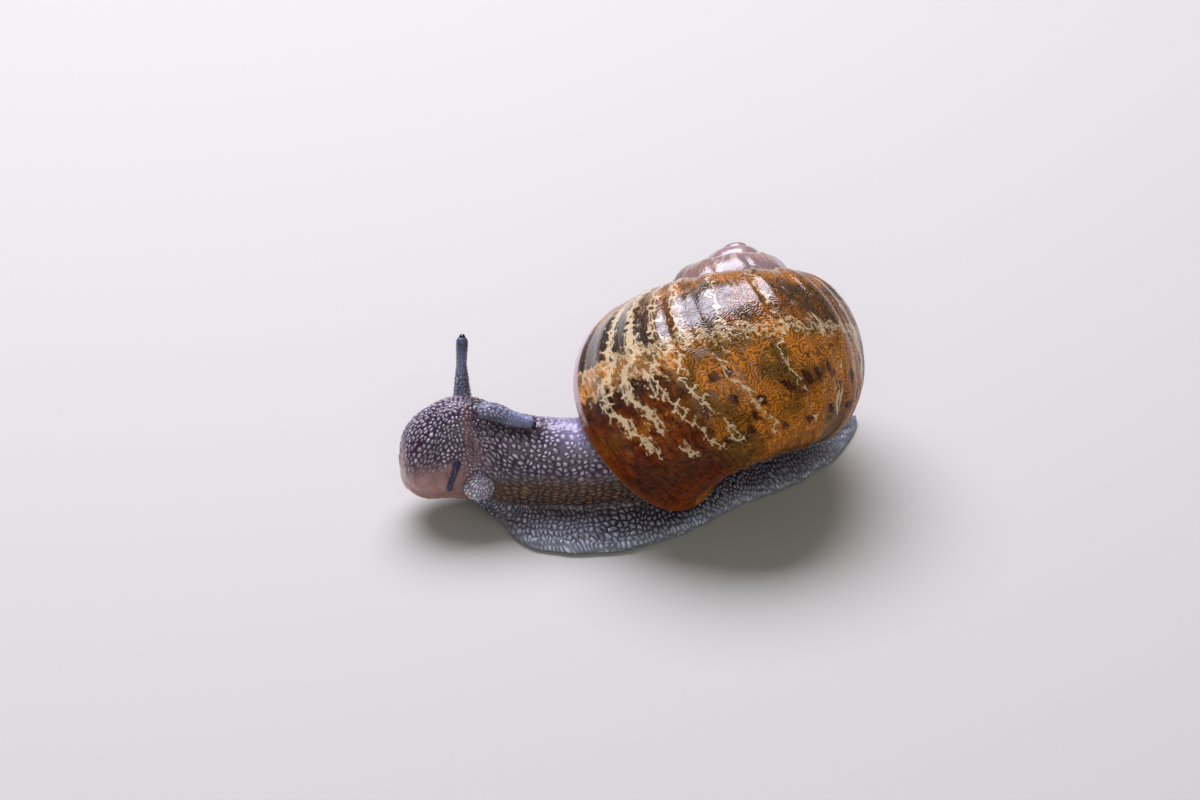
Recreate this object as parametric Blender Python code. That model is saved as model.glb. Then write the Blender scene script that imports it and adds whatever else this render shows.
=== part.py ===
"""A garden snail at life size, with its foot flat on the floor and its head raised.

The snail crawls towards -X, its tail lies towards +X and +Z is up. The floor is at
Z = 0, below the middle of the snail. The shell is a right-handed spiral whose apex
points up and to the animal's right, +Y. The flesh is one body that thin cuts part
into head, neck, trunk, foot and tail.
"""

import math

import bmesh
import bpy
from mathutils import Matrix, Vector

MM = 0.001
GAP = 0.3 * MM

# Moves the whole snail, so that its box stands centred on the origin.
SHIFT = Vector((-2.1, 3.35, 0.0)) * MM

# The shell, a tube that winds round its axis and grows by the same factor on each turn.
WHORLS = 4.6
FIRST_WHORL = 1.3
GROWTH_PER_TURN = 2.165
LAST_RADIUS = 11.12 * MM
FALL = 1.929
HALF_WIDTH = 0.841
HALF_HEIGHT = 1.265
SECTION_TILT_DEG = 6.7
LEAN_TURNS = 0.049
SHELL_AXIS = Vector((0.324, 0.677, 0.661))
SHELL_SPIN_DEG = 17.66
APEX = Vector((20.5, 9.5, 23.3)) * MM
RINGS_PER_TURN = 26
RING_POINTS = 22
LIP_THICKNESS = 0.07
RECESS_TURNS = 0.03
COLUMELLA_RADIUS = 2.2 * MM
COLUMELLA_LENGTH = 17.0 * MM

# The flesh, as stations along the middle of the body from the snout to the tail tip:
# x, y, height of the underside, half width of the sole, half width of the back, top.
STATIONS = (
    (-26.7, 6.9, 6.2, 1.1, 1.2, 8.6),
    (-26.4, 6.8, 4.8, 2.0, 2.4, 10.1),
    (-25.7, 6.6, 3.7, 2.8, 3.5, 11.7),
    (-24.4, 6.3, 3.1, 3.4, 4.3, 13.2),
    (-22.4, 5.9, 3.0, 3.8, 4.8, 14.5),
    (-20.2, 5.3, 2.9, 4.2, 5.0, 15.3),
    (-18.2, 4.5, 2.7, 4.4, 4.9, 15.1),
    (-16.6, 3.6, 2.2, 4.4, 4.9, 14.3),
    (-15.0, 2.7, 0.9, 4.9, 5.0, 13.5),
    (-13.6, 1.8, 0.0, 7.2, 5.1, 12.9),
    (-11.5, 0.6, 0.0, 9.4, 5.2, 12.4),
    (-8.5, -1.0, 0.0, 10.3, 5.4, 12.1),
    (-5.5, -2.2, 0.0, 10.6, 5.6, 12.1),
    (-2.5, -2.9, 0.0, 10.5, 6.0, 12.4),
    (0.5, -3.2, 0.0, 10.2, 6.4, 13.0),
    (3.5, -3.2, 0.0, 9.8, 6.4, 13.0),
    (6.5, -3.1, 0.0, 9.2, 6.0, 11.0),
    (9.5, -3.0, 0.0, 8.7, 5.4, 8.0),
    (13.0, -3.0, 0.0, 8.6, 4.8, 5.6),
    (17.0, -3.1, 0.0, 8.2, 4.2, 4.4),
    (21.0, -3.3, 0.0, 7.2, 3.5, 3.6),
    (25.0, -3.4, 0.0, 5.0, 2.6, 2.7),
    (28.5, -3.0, 0.0, 2.8, 1.6, 1.9),
    (30.6, -2.6, 0.0, 1.3, 0.8, 1.1),
    (31.2, -2.5, 0.0, 0.5, 0.4, 0.7),
)
STEPS_PER_STATION = 2
BACK_POINTS = 8
EDGE_TOP = 1.3 * MM
CREASE_HEIGHT = 3.0 * MM

# Where the flesh is parted: two upright cuts across the neck, one ahead of the tail,
# and a level one between the foot and what it carries.
HEAD_CUT = Vector((-18.2, 4.5, 0.0)) * MM
HEAD_TURN_DEG = -24.0
NECK_CUT_X = -7.0 * MM
TAIL_CUT_X = 13.0 * MM
FOOT_TOP = 3.2 * MM

# The head's middle plane, through the nape and the snout, as plan points.
NAPE = Vector((-18.2, 4.8, 0.0)) * MM
SNOUT = Vector((-26.7, 7.1, 0.0)) * MM

# The feelers and the lobes beside the mouth: points of the middle line, then radii.
# The upper left feeler lies back along the neck, and the upper right one stands.
UPPER_LEFT = ((-18.3, 4.0, 13.0), (-16.4, 3.0, 14.0), (-14.4, 1.5, 13.5), (-12.8, 0.3, 12.9))
UPPER_LEFT_RADII = (1.4, 1.25, 0.95, 0.75)
UPPER_RIGHT = ((-18.3, 7.0, 12.5), (-17.9, 7.8, 14.8), (-17.4, 8.8, 17.6), (-16.9, 9.5, 20.2))
UPPER_RIGHT_RADII = (1.3, 1.0, 0.7, 0.7)
LOWER_LEFT = ((-21.2, 2.6, 9.6), (-21.8, 1.4, 9.0), (-22.7, 0.7, 7.9), (-23.4, 0.4, 6.8))
LOWER_RADII = (0.5, 0.45, 0.4, 0.42)
EYE_RADIUS = 0.42 * MM
LOBE_CENTRE = Vector((-19.5, -0.1, 5.3)) * MM
LOBE_RADII = Vector((1.9, 1.5, 1.8)) * MM

SKIN = (0.20, 0.15, 0.16)
SHELL_BROWN = (0.33, 0.15, 0.05)
EYE_BLACK = (0.02, 0.01, 0.03)


def clear_scene():
    for obj in list(bpy.data.objects):
        bpy.data.objects.remove(obj)


def finish(name, color, roughness):
    material = bpy.data.materials.new(name)
    material.use_nodes = True
    shader = material.node_tree.nodes["Principled BSDF"]
    shader.inputs["Base Color"].default_value = (*color, 1.0)
    shader.inputs["Roughness"].default_value = roughness
    return material


def mesh_object(name, points, faces, collection):
    mesh = bpy.data.meshes.new(name)
    mesh.from_pydata(points, [], faces)
    bm = bmesh.new()
    bm.from_mesh(mesh)
    bmesh.ops.recalc_face_normals(bm, faces=bm.faces)
    bm.to_mesh(mesh)
    bm.free()
    obj = bpy.data.objects.new(name, mesh)
    collection.objects.link(obj)
    return obj


def ring_loft(name, rings, collection):
    """A closed skin over a row of equal rings, each end closed by a fan of triangles."""
    count = len(rings[0])
    last = (len(rings) - 1) * count
    points = [point for ring in rings for point in ring]
    points += [sum(ring, Vector()) / count for ring in (rings[0], rings[-1])]
    faces = []
    for k in range(count):
        after = (k + 1) % count
        for a in range(0, last, count):
            faces.append((a + k, a + after, a + after + count, a + k + count))
        faces.append((after, k, last + count))
        faces.append((last + k, last + after, last + count + 1))
    return mesh_object(name, points, faces, collection)


def shell_point(turn, across, along):
    """A point at a turn; across and along are shares of the spiral's radius there."""
    radius = LAST_RADIUS * GROWTH_PER_TURN ** (turn - WHORLS)
    angle = -2 * math.pi * turn
    x, y = radius * across * math.cos(angle), radius * across * math.sin(angle)
    return Vector((x, y, radius * (along - FALL)))


def shell_ring(turn, swell=0.0, margin=0.0):
    """The tube's outline at a turn, grown by a share of the radius and by a length."""
    radius = LAST_RADIUS * GROWTH_PER_TURN ** (turn - WHORLS)
    extra = swell + margin / radius
    tilt = math.radians(SECTION_TILT_DEG)
    ring = []
    for i in range(RING_POINTS):
        angle = 2 * math.pi * i / RING_POINTS
        u = (HALF_WIDTH + extra) * math.cos(angle)
        v = (HALF_HEIGHT + extra) * math.sin(angle)
        across = u * math.cos(tilt) - v * math.sin(tilt)
        along = u * math.sin(tilt) + v * math.cos(tilt)
        lead = LEAN_TURNS * along / HALF_HEIGHT
        ring.append(shell_point(turn + lead, 1 + across, along))
    return ring


def spiral(first, last):
    count = max(2, round((last - first) * RINGS_PER_TURN))
    return [first + (last - first) * i / count for i in range(count + 1)]


def shell_frame():
    up = SHELL_AXIS.normalized()
    side = Vector((0, 1, 0)).cross(up).normalized()
    turned = Matrix((side, up.cross(side), up)).transposed().to_4x4()
    spin = Matrix.Rotation(math.radians(SHELL_SPIN_DEG), 4, "Z")
    return Matrix.Translation(APEX + SHIFT) @ turned @ spin


def station_values(t):
    """The stations' values at t, on a smooth curve through them."""
    i = min(int(t), len(STATIONS) - 2)
    f = t - i
    before, here = STATIONS[max(i - 1, 0)], STATIONS[i]
    there, after = STATIONS[i + 1], STATIONS[min(i + 2, len(STATIONS) - 1)]
    values = []
    for p, q, r, s in zip(before, here, there, after):
        slope_q, slope_r = (r - p) / 2, (s - q) / 2
        low, high = min(q, r), max(q, r)
        value = (2 * f**3 - 3 * f**2 + 1) * q + (f**3 - 2 * f**2 + f) * slope_q
        value += (3 * f**2 - 2 * f**3) * r + (f**3 - f**2) * slope_r
        values.append(min(max(value, low), high) * MM)
    return values


def body_ring(t, margin=0.0):
    """The body's outline at station t, in a plane across the way the body runs there."""
    x, y, under, sole, back, top = station_values(t)
    near = station_values(max(t - 0.5, 0.0))
    far = station_values(min(t + 0.5, len(STATIONS) - 1.001))
    heading = Vector((far[0] - near[0], far[1] - near[1], 0)).normalized()
    left = Vector((heading.y, -heading.x, 0))
    rise = top - under
    edge = min(EDGE_TOP, rise * 0.4)
    crease = min(CREASE_HEIGHT, rise * 0.45)
    sole, back = sole + margin, back + margin
    half = [(0.0, -margin), (sole * 0.55, -margin), (sole * 0.93, -margin)]
    half += [(sole, edge * 0.45), (sole * 0.97, edge + margin)]
    half += [((sole + back) / 2, (edge + crease) / 2 + margin)]
    for i in range(BACK_POINTS):
        angle = math.pi / 2 * i / (BACK_POINTS - 1)
        height = rise + margin - crease
        half.append((back * math.cos(angle), crease + height * math.sin(angle)))
    centre = Vector((x, y, under)) + SHIFT
    outline = half + [(-a, z) for a, z in half[-2:0:-1]]
    return [centre + left * a + Vector((0, 0, z)) for a, z in outline]


def body_loft(name, collection, margin=0.0):
    last = len(STATIONS) - 1
    steps = last * STEPS_PER_STATION
    rings = [body_ring(min(last * i / steps, last - 1e-6), margin) for i in range(steps + 1)]
    return ring_loft(name, rings, collection)


def as_cutter(obj):
    obj.hide_render = True
    obj.display_type = "WIRE"
    return obj


def boolean(obj, operation, other, itself=False):
    modifier = obj.modifiers.new(operation.lower() + "_" + other.name, "BOOLEAN")
    modifier.operation = operation
    modifier.object = other
    modifier.use_self = itself
    return modifier


def box(name, low, high, collection):
    """A block between two corners, as a cutter."""
    bm = bmesh.new()
    bmesh.ops.create_cube(bm, size=1.0)
    size = Vector(high) - Vector(low)
    middle = (Vector(high) + Vector(low)) / 2
    bmesh.ops.scale(bm, vec=size, verts=bm.verts)
    bmesh.ops.translate(bm, vec=middle, verts=bm.verts)
    mesh = bpy.data.meshes.new(name)
    bm.to_mesh(mesh)
    bm.free()
    obj = bpy.data.objects.new(name, mesh)
    collection.objects.link(obj)
    return as_cutter(obj)


def make_shell(collection):
    """The shell, hollowed a little behind its lip, with its axis filled solid."""
    rings = [shell_ring(turn) for turn in spiral(FIRST_WHORL, WHORLS)]
    rings.append(shell_ring(WHORLS, -LIP_THICKNESS))
    rings.append(shell_ring(WHORLS - RECESS_TURNS, -LIP_THICKNESS))
    shell = ring_loft("shell", rings, collection)
    shell.matrix_world = shell_frame()
    shell.data.materials.append(finish("shell", SHELL_BROWN, 0.25))
    return shell


def make_shell_room(collection, columella):
    """The shell without its hollow and a gap larger, which the flesh keeps clear of."""
    step = GAP / (2 * math.pi * LAST_RADIUS)
    rings = [shell_ring(turn, 0, GAP) for turn in spiral(FIRST_WHORL + 1, WHORLS + step)]
    room = ring_loft("shell_room", rings, collection)
    room.matrix_world = shell_frame()
    boolean(room, "UNION", columella, True)
    return as_cutter(room)


def make_columella(name, collection, margin=0.0):
    """The solid pillar that closes the middle of the spiral, as a slim cone."""
    bm = bmesh.new()
    bmesh.ops.create_cone(
        bm,
        cap_ends=True,
        segments=16,
        radius1=COLUMELLA_RADIUS + margin,
        radius2=COLUMELLA_RADIUS * 0.1 + margin,
        depth=COLUMELLA_LENGTH,
    )
    mesh = bpy.data.meshes.new(name)
    bm.to_mesh(mesh)
    bm.free()
    obj = bpy.data.objects.new(name, mesh)
    collection.objects.link(obj)
    middle = Matrix.Translation((0, 0, -COLUMELLA_LENGTH / 2 - 4.0 * MM - margin))
    obj.matrix_world = shell_frame() @ middle
    return as_cutter(obj)


def make_mantle(collection, cutters, columella_room):
    """The collar of the mantle, which closes the shell's opening behind the lip."""
    step = GAP / (2 * math.pi * LAST_RADIUS)
    inner = -LIP_THICKNESS - GAP / LAST_RADIUS
    turns = (WHORLS - RECESS_TURNS + step, WHORLS - RECESS_TURNS / 2, WHORLS - step)
    mantle = ring_loft("mantle", [shell_ring(turn, inner) for turn in turns], collection)
    mantle.matrix_world = shell_frame()
    older = spiral(WHORLS - 1.4, WHORLS - 0.6)
    whorl = ring_loft("older_whorl", [shell_ring(t, 0, GAP) for t in older], cutters)
    whorl.matrix_world = shell_frame()
    boolean(mantle, "DIFFERENCE", as_cutter(whorl))
    boolean(mantle, "DIFFERENCE", columella_room)
    return mantle


def feeler(name, line, radii, collection):
    """A round, tapering feeler along a smooth line, as a mesh."""
    curve = bpy.data.curves.new(name, "CURVE")
    curve.dimensions = "3D"
    curve.bevel_depth = MM
    curve.bevel_resolution = 2
    curve.resolution_u = 4
    curve.use_fill_caps = True
    spline = curve.splines.new("BEZIER")
    spline.bezier_points.add(len(line) - 1)
    for point, place, radius in zip(spline.bezier_points, line, radii):
        point.co = place + SHIFT
        point.radius = radius
        point.handle_left_type = "AUTO"
        point.handle_right_type = "AUTO"
    drawn = bpy.data.objects.new(name + "_curve", curve)
    collection.objects.link(drawn)
    bpy.context.view_layer.update()
    seen = drawn.evaluated_get(bpy.context.evaluated_depsgraph_get())
    mesh = bpy.data.meshes.new_from_object(seen)
    mesh.name = name
    bpy.data.objects.remove(drawn)
    bm = bmesh.new()
    bm.from_mesh(mesh)
    bmesh.ops.remove_doubles(bm, verts=bm.verts, dist=0.00001)
    bm.to_mesh(mesh)
    bm.free()
    obj = bpy.data.objects.new(name, mesh)
    collection.objects.link(obj)
    return obj


def ball(name, centre, radii, collection, segments=16):
    bm = bmesh.new()
    bmesh.ops.create_uvsphere(bm, u_segments=segments, v_segments=segments // 2, radius=1.0)
    bmesh.ops.scale(bm, vec=radii, verts=bm.verts)
    mesh = bpy.data.meshes.new(name)
    bm.to_mesh(mesh)
    bm.free()
    obj = bpy.data.objects.new(name, mesh)
    obj.location = centre
    collection.objects.link(obj)
    return obj


def make_flesh(collection, cutters, shell_room):
    """The flesh, parted by intersecting copies of the whole with blocks."""
    far = 60 * MM
    half = GAP / 2
    turn = Matrix.Rotation(math.radians(HEAD_TURN_DEG), 4, "Z")
    head_place = Matrix.Translation(HEAD_CUT + SHIFT) @ turn
    ahead = box("ahead_of_head_cut", (-far, -far, -far), (-half, far, far), cutters)
    behind = box("behind_head_cut", (half, -far, -far), (far, far, far), cutters)
    ahead.matrix_world = head_place
    behind.matrix_world = head_place
    neck_x, tail_x = NECK_CUT_X + SHIFT.x, TAIL_CUT_X + SHIFT.x
    low, high = FOOT_TOP - half, FOOT_TOP + half
    regions = {
        "head": [ahead],
        "neck": [behind, box("neck_room", (-far, -far, high), (neck_x - half, far, far), cutters)],
        "trunk": [box("trunk_room", (neck_x + half, -far, high), (tail_x - half, far, far), cutters)],
        "foot": [behind, box("foot_room", (-far, -far, -far), (tail_x - half, far, low), cutters)],
        "tail": [box("tail_room", (tail_x + half, -far, -far), (far, far, far), cutters)],
    }
    whole = body_loft("whole_flesh", cutters)
    as_cutter(whole)
    pieces = []
    for name, blocks in regions.items():
        piece = bpy.data.objects.new(name, whole.data.copy())
        collection.objects.link(piece)
        for block in blocks:
            boolean(piece, "INTERSECT", block)
        if name != "head":
            boolean(piece, "DIFFERENCE", shell_room)
        pieces.append(piece)
    return pieces


def other_side(point):
    """The place across the head's middle plane."""
    across = (SNOUT - NAPE).normalized().cross(Vector((0, 0, 1)))
    return point - 2 * (point - NAPE).dot(across) * across


def make_head_parts(collection, cutters):
    """The feelers, eyes and mouth lobes, each trimmed where it meets the skin."""
    grown = as_cutter(body_loft("grown_flesh", cutters, GAP))
    left = [Vector(point) * MM for point in LOWER_LEFT]
    right = [other_side(point) for point in left]
    uppers = {
        "left": ([Vector(point) * MM for point in UPPER_LEFT], UPPER_LEFT_RADII),
        "right": ([Vector(point) * MM for point in UPPER_RIGHT], UPPER_RIGHT_RADII),
    }
    pieces = [
        feeler("lower_feeler_left", left, LOWER_RADII, collection),
        feeler("lower_feeler_right", right, LOWER_RADII, collection),
        ball("lobe_left", LOBE_CENTRE + SHIFT, LOBE_RADII, collection),
        ball("lobe_right", other_side(LOBE_CENTRE) + SHIFT, LOBE_RADII, collection),
    ]
    for side, (line, radii) in uppers.items():
        pieces.append(feeler("upper_feeler_" + side, line, radii, collection))
        beyond = (line[-1] - line[-2]).normalized() * (EYE_RADIUS + GAP / 2)
        size = Vector((1, 1, 1)) * EYE_RADIUS
        eye = ball("eye_" + side, line[-1] + beyond + SHIFT, size, collection, 12)
        eye.data.materials.append(finish("eye_" + side, EYE_BLACK, 0.1))
    for piece in pieces:
        boolean(piece, "DIFFERENCE", grown)
    return pieces


def main():
    clear_scene()
    snail = bpy.data.collections.new("garden_snail")
    cutters = bpy.data.collections.new("cutters")
    bpy.context.scene.collection.children.link(snail)
    bpy.context.scene.collection.children.link(cutters)
    columella = make_columella("columella", cutters)
    columella_room = make_columella("columella_room", cutters, GAP)
    boolean(make_shell(snail), "UNION", columella, True)
    shell_room = make_shell_room(cutters, columella_room)
    soft = [make_mantle(snail, cutters, columella_room)]
    soft += make_flesh(snail, cutters, shell_room)
    soft += make_head_parts(snail, cutters)
    for piece in soft:
        piece.data.materials.append(finish(piece.name, SKIN, 0.35))


if __name__ == "__main__":
    main()
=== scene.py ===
"""The looks of a life-size garden snail: its shell, its skin, its eyes and a stage."""

import math

import bmesh
import bpy
import numpy as np
from bpy.props import FloatProperty, FloatVectorProperty, IntProperty
from mathutils import Matrix, Vector, noise


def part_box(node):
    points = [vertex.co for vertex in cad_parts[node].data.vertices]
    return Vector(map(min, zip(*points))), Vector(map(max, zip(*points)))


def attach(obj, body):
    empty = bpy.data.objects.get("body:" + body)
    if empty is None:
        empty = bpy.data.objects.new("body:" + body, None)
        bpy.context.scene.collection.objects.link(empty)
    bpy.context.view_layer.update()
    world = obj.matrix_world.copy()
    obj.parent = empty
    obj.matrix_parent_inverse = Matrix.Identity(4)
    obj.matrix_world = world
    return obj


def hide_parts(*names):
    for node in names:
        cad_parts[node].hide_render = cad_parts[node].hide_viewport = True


bl_info = {
    "name": "Garden Snail",
    "version": (1, 0, 0),
    "blender": (4, 5, 0),
    "location": "3D View > Sidebar > Snail",
    "description": "Builds the shell, skin and eyes of a life-size garden snail",
    "category": "Add Mesh",
}

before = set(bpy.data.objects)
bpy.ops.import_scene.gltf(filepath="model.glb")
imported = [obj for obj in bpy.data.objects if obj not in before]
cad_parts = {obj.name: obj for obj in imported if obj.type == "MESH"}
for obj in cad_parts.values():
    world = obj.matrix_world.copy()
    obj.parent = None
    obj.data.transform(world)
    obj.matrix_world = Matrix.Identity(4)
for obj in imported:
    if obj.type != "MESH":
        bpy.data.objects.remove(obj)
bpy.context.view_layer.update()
MM = 0.001

# Moves what is written round the snail's own middle to the place of its solids.
SHIFT = Vector((-2.1, 3.35, 0.0)) * MM

# The spiral's section and stance, which the solids share.
FALL = 1.929
HALF_WIDTH = 0.841
HALF_HEIGHT = 1.265
SECTION_TILT_DEG = 6.7
LEAN_TURNS = 0.049
SHELL_AXIS = Vector((0.324, 0.677, 0.661))
SHELL_SPIN_DEG = 17.66
APEX = Vector((20.5, 9.5, 23.3)) * MM

# The flesh, as stations along the middle of the body from the snout to the tail tip:
# x, y, height of the underside, half width of the sole, half width of the back, top.
STATIONS = (
    (-26.7, 6.9, 6.2, 1.1, 1.2, 8.6),
    (-26.4, 6.8, 4.8, 2.0, 2.4, 10.1),
    (-25.7, 6.6, 3.7, 2.8, 3.5, 11.7),
    (-24.4, 6.3, 3.1, 3.4, 4.3, 13.2),
    (-22.4, 5.9, 3.0, 3.8, 4.8, 14.5),
    (-20.2, 5.3, 2.9, 4.2, 5.0, 15.3),
    (-18.2, 4.5, 2.7, 4.4, 4.9, 15.1),
    (-16.6, 3.6, 2.2, 4.4, 4.9, 14.3),
    (-15.0, 2.7, 0.9, 4.9, 5.0, 13.5),
    (-13.6, 1.8, 0.0, 7.2, 5.1, 12.9),
    (-11.5, 0.6, 0.0, 9.4, 5.2, 12.4),
    (-8.5, -1.0, 0.0, 10.3, 5.4, 12.1),
    (-5.5, -2.2, 0.0, 10.6, 5.6, 12.1),
    (-2.5, -2.9, 0.0, 10.5, 6.0, 12.4),
    (0.5, -3.2, 0.0, 10.2, 6.4, 13.0),
    (3.5, -3.2, 0.0, 9.8, 6.4, 13.0),
    (6.5, -3.1, 0.0, 9.2, 6.0, 11.0),
    (9.5, -3.0, 0.0, 8.7, 5.4, 8.0),
    (13.0, -3.0, 0.0, 8.6, 4.8, 5.6),
    (17.0, -3.1, 0.0, 8.2, 4.2, 4.4),
    (21.0, -3.3, 0.0, 7.2, 3.5, 3.6),
    (25.0, -3.4, 0.0, 5.0, 2.6, 2.7),
    (28.5, -3.0, 0.0, 2.8, 1.6, 1.9),
    (30.6, -2.6, 0.0, 1.3, 0.8, 1.1),
    (31.2, -2.5, 0.0, 0.5, 0.4, 0.7),
)
EDGE_TOP = 1.3
CREASE_HEIGHT = 3.0

# The skin's raw mesh: rings between two stations and points in half a ring of the body,
# and the rings and points of the rest. The snout's cap: its size and its reach in front.
BODY_RINGS, HALF_POINTS = 9, 64
FEELER_RINGS, FEELER_POINTS = 40, 28
LOBE_RINGS, LOBE_POINTS = 16, 32
EYE_RINGS, EYE_POINTS = 28, 44
SNOUT_CAP = ((0.85, 0.07), (0.55, 0.13), (0.25, 0.16), (0.05, 0.165))

# The collar's rings: turns past the lip and millimetres outside the solid's outline.
COLLAR = ((-0.05, -3.0), (-0.045, -1.2), (-0.03, -0.72), (0.0, -0.66), (0.006, -0.8), (0.012, -2.0))
COLLAR_POINTS = 96

# The kinds of flesh that the third part of the skin's flow tells apart, and where each
# kind's granules start, so that no two pieces wear the same ones.
UPPER_FEELER, LOWER_FEELER, LOBE, PLAIN_FLESH = 1, 2, 3, 4
KIND_SPACING, LOBE_START, COLLAR_START = 40, 120, 200

# The head's middle plane, through the nape and the snout, as plan points.
NAPE = Vector((-18.2, 4.8, 0.0))
SNOUT = Vector((-26.7, 7.1, 0.0))

ACROSS = (SNOUT - NAPE).normalized().cross(Vector((0, 0, 1)))
MOUTH_OFFSET = -(NAPE + SHIFT / MM).dot(ACROSS)
MOUTH_HEIGHT = 5.1

# The feelers: points of the middle line and the radius at each. Then the mouth lobes.
UPPER_LEFT = ((-18.3, 4.0, 13.0), (-16.4, 3.0, 13.8), (-14.4, 1.5, 13.3), (-12.8, 0.3, 12.9))
UPPER_LEFT_RADII = (1.5, 1.25, 0.88, 0.68)
UPPER_RIGHT = ((-18.3, 7.0, 12.5), (-17.9, 7.8, 14.8), (-17.4, 8.8, 17.6), (-16.9, 9.5, 20.2))
UPPER_RIGHT_RADII = (1.3, 0.95, 0.62, 0.75)
LOWER_LEFT = ((-21.2, 2.6, 9.6), (-21.8, 1.4, 9.0), (-22.7, 0.7, 7.9), (-23.4, 0.4, 6.8))
LOWER_RADII = (0.5, 0.42, 0.36, 0.42)
LOWER_LIFT = Vector((-0.38, -0.71, 0.59))
LOWER_LIFTS = (0.3, 0.75, 0.7, 0.5)
# The crease of the cheek lies on the body's own outline: the station where it starts, how
# far it swings back on its way down, and how far from the ridge it starts and ends.
CREASE_STATION, CREASE_SWING = 5.7, 0.5
CREASE_FROM, CREASE_TO = 1.4, 7.2
LOBE_CENTRE = Vector((-19.5, -0.1, 5.3))
LOBE_RADII = Vector((2.1, 1.7, 1.9))
LOBE_SINK = Vector((0.1, 0.35, 0.75))
LEFT_BRIDGE = ((-18.9, 1.0, 4.8), (-17.8, 0.6, 3.6), (-16.8, -0.5, 2.5), (-15.8, -2.0, 1.7))
RIGHT_BRIDGE = ((-16.6, 8.6, 4.8), (-15.3, 7.4, 3.6), (-14.0, 6.5, 2.5), (-12.2, 6.0, 1.7))
BRIDGE_RADII = (1.7, 1.9, 1.85, 1.6)

# The kinds of node that a row may ask for: Blender's name, its settings, and where the row's
# values go, in order: an input, or a property of the node where the name starts with a dot.
NOISE_INPUTS = ("Vector", "Scale", "Detail", "Roughness")
CELL_INPUTS = ("Vector", "Scale", "Randomness")
STORE, STORE_INPUTS = "GeometryNodeStoreNamedAttribute", (0, "Name", "Value")
PLANE, VECTORS = {"voronoi_dimensions": "2D"}, {"data_type": "FLOAT_VECTOR"}
KINDS = {
    "range": ("ShaderNodeMapRange", {}, (0, 1, 2, 3, 4)),
    "smooth": ("ShaderNodeMapRange", {"interpolation_type": "SMOOTHSTEP"}, (0, 1, 2, 3, 4)),
    "ramp": ("ShaderNodeValToRGB", {}, (0, ".color_ramp")),
    "mix": ("ShaderNodeMix", {}, (0, 2, 3)),
    "blend": ("ShaderNodeMix", {"data_type": "RGBA"}, (0, 6, 7)),
    "as vector": ("ShaderNodeVectorMath", {}, (0,)),
    "scale": ("ShaderNodeVectorMath", {"operation": "SCALE"}, (0, "Scale")),
    "stretch": ("ShaderNodeVectorMath", {"operation": "MULTIPLY"}, (0, 1)),
    "split": ("ShaderNodeSeparateXYZ", {}, (0,)),
    "join": ("ShaderNodeCombineXYZ", {}, (0, 1, 2)),
    "turn z": ("ShaderNodeVectorRotate", {"rotation_type": "Z_AXIS"}, ("Vector", "Angle")),
    "noise": ("ShaderNodeTexNoise", {}, NOISE_INPUTS),
    "flat noise": ("ShaderNodeTexNoise", {"noise_dimensions": "2D"}, NOISE_INPUTS),
    "line noise": ("ShaderNodeTexNoise", {"noise_dimensions": "1D"}, ("W", *NOISE_INPUTS[1:])),
    "ridges": ("ShaderNodeTexNoise", {"noise_type": "RIDGED_MULTIFRACTAL"}, NOISE_INPUTS),
    "cells": ("ShaderNodeTexVoronoi", PLANE, CELL_INPUTS),
    "cell gaps": ("ShaderNodeTexVoronoi", {**PLANE, "feature": "DISTANCE_TO_EDGE"}, CELL_INPUTS),
    "bump": ("ShaderNodeBump", {}, ("Strength", "Distance", "Height")),
    "attribute": ("ShaderNodeAttribute", {}, (".attribute_name",)),
    "coordinates": ("ShaderNodeTexCoord", {}, ()),
    "position": ("GeometryNodeInputPosition", {}, ()),
    "normal": ("GeometryNodeInputNormal", {}, ()),
    "grid": ("GeometryNodeMeshGrid", {}, (0, 1, 2, 3)),
    "object": ("GeometryNodeObjectInfo", {}, (0,)),
    "named": ("GeometryNodeInputNamedAttribute", VECTORS, ("Name",)),
    "nearest": ("GeometryNodeSampleNearestSurface", VECTORS, ("Mesh", "Value")),
    "store": (STORE, VECTORS, STORE_INPUTS),
    "store corner": (STORE, {**VECTORS, "domain": "CORNER"}, STORE_INPUTS),
    "store uv": (STORE, {"data_type": "FLOAT2", "domain": "CORNER"}, STORE_INPUTS),
    "move to": ("GeometryNodeSetPosition", {}, (0, "Position")),
    "move by": ("GeometryNodeSetPosition", {}, (0, "Offset")),
    "merge": ("GeometryNodeMergeByDistance", {}, (0, "Distance")),
    "shade smooth": ("GeometryNodeSetShadeSmooth", {}, (0,)),
    "realize": ("GeometryNodeRealizeInstances", {}, (0,)),
    "set material": ("GeometryNodeSetMaterial", {}, (0, "Material")),
}
SUMS = {"+": "ADD", "-": "SUBTRACT", "*": "MULTIPLY", "/": "DIVIDE", "**": "POWER", "*+": "MULTIPLY_ADD"}
WORDS = ("sqrt", "exponent", "logarithm", "sine", "cosine", "absolute", "maximum", "compare", "pingpong")
for word, operation in (*SUMS.items(), *((word, word.upper()) for word in WORDS)):
    KINDS[word] = ("ShaderNodeMath", {"operation": operation}, (0, 1, 2))

# The socket that each kind of value needs on a geometry tree; None stands for the mesh.
SOCKETS = {
    type(None): "NodeSocketGeometry",
    int: "NodeSocketInt",
    float: "NodeSocketFloat",
    bpy.types.Object: "NodeSocketObject",
    bpy.types.Material: "NodeSocketMaterial",
}


def linear(code):
    """An sRGB hex colour as linear red, green and blue."""
    values = [int(code[i : i + 2], 16) / 255 for i in (1, 3, 5)]
    return tuple(v / 12.92 if v <= 0.04045 else ((v + 0.055) / 1.055) ** 2.4 for v in values)


def length(name, description, default):
    """A property for a size in metres."""
    return FloatProperty(name=name, description=description, default=default, unit="LENGTH", precision=5)


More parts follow.
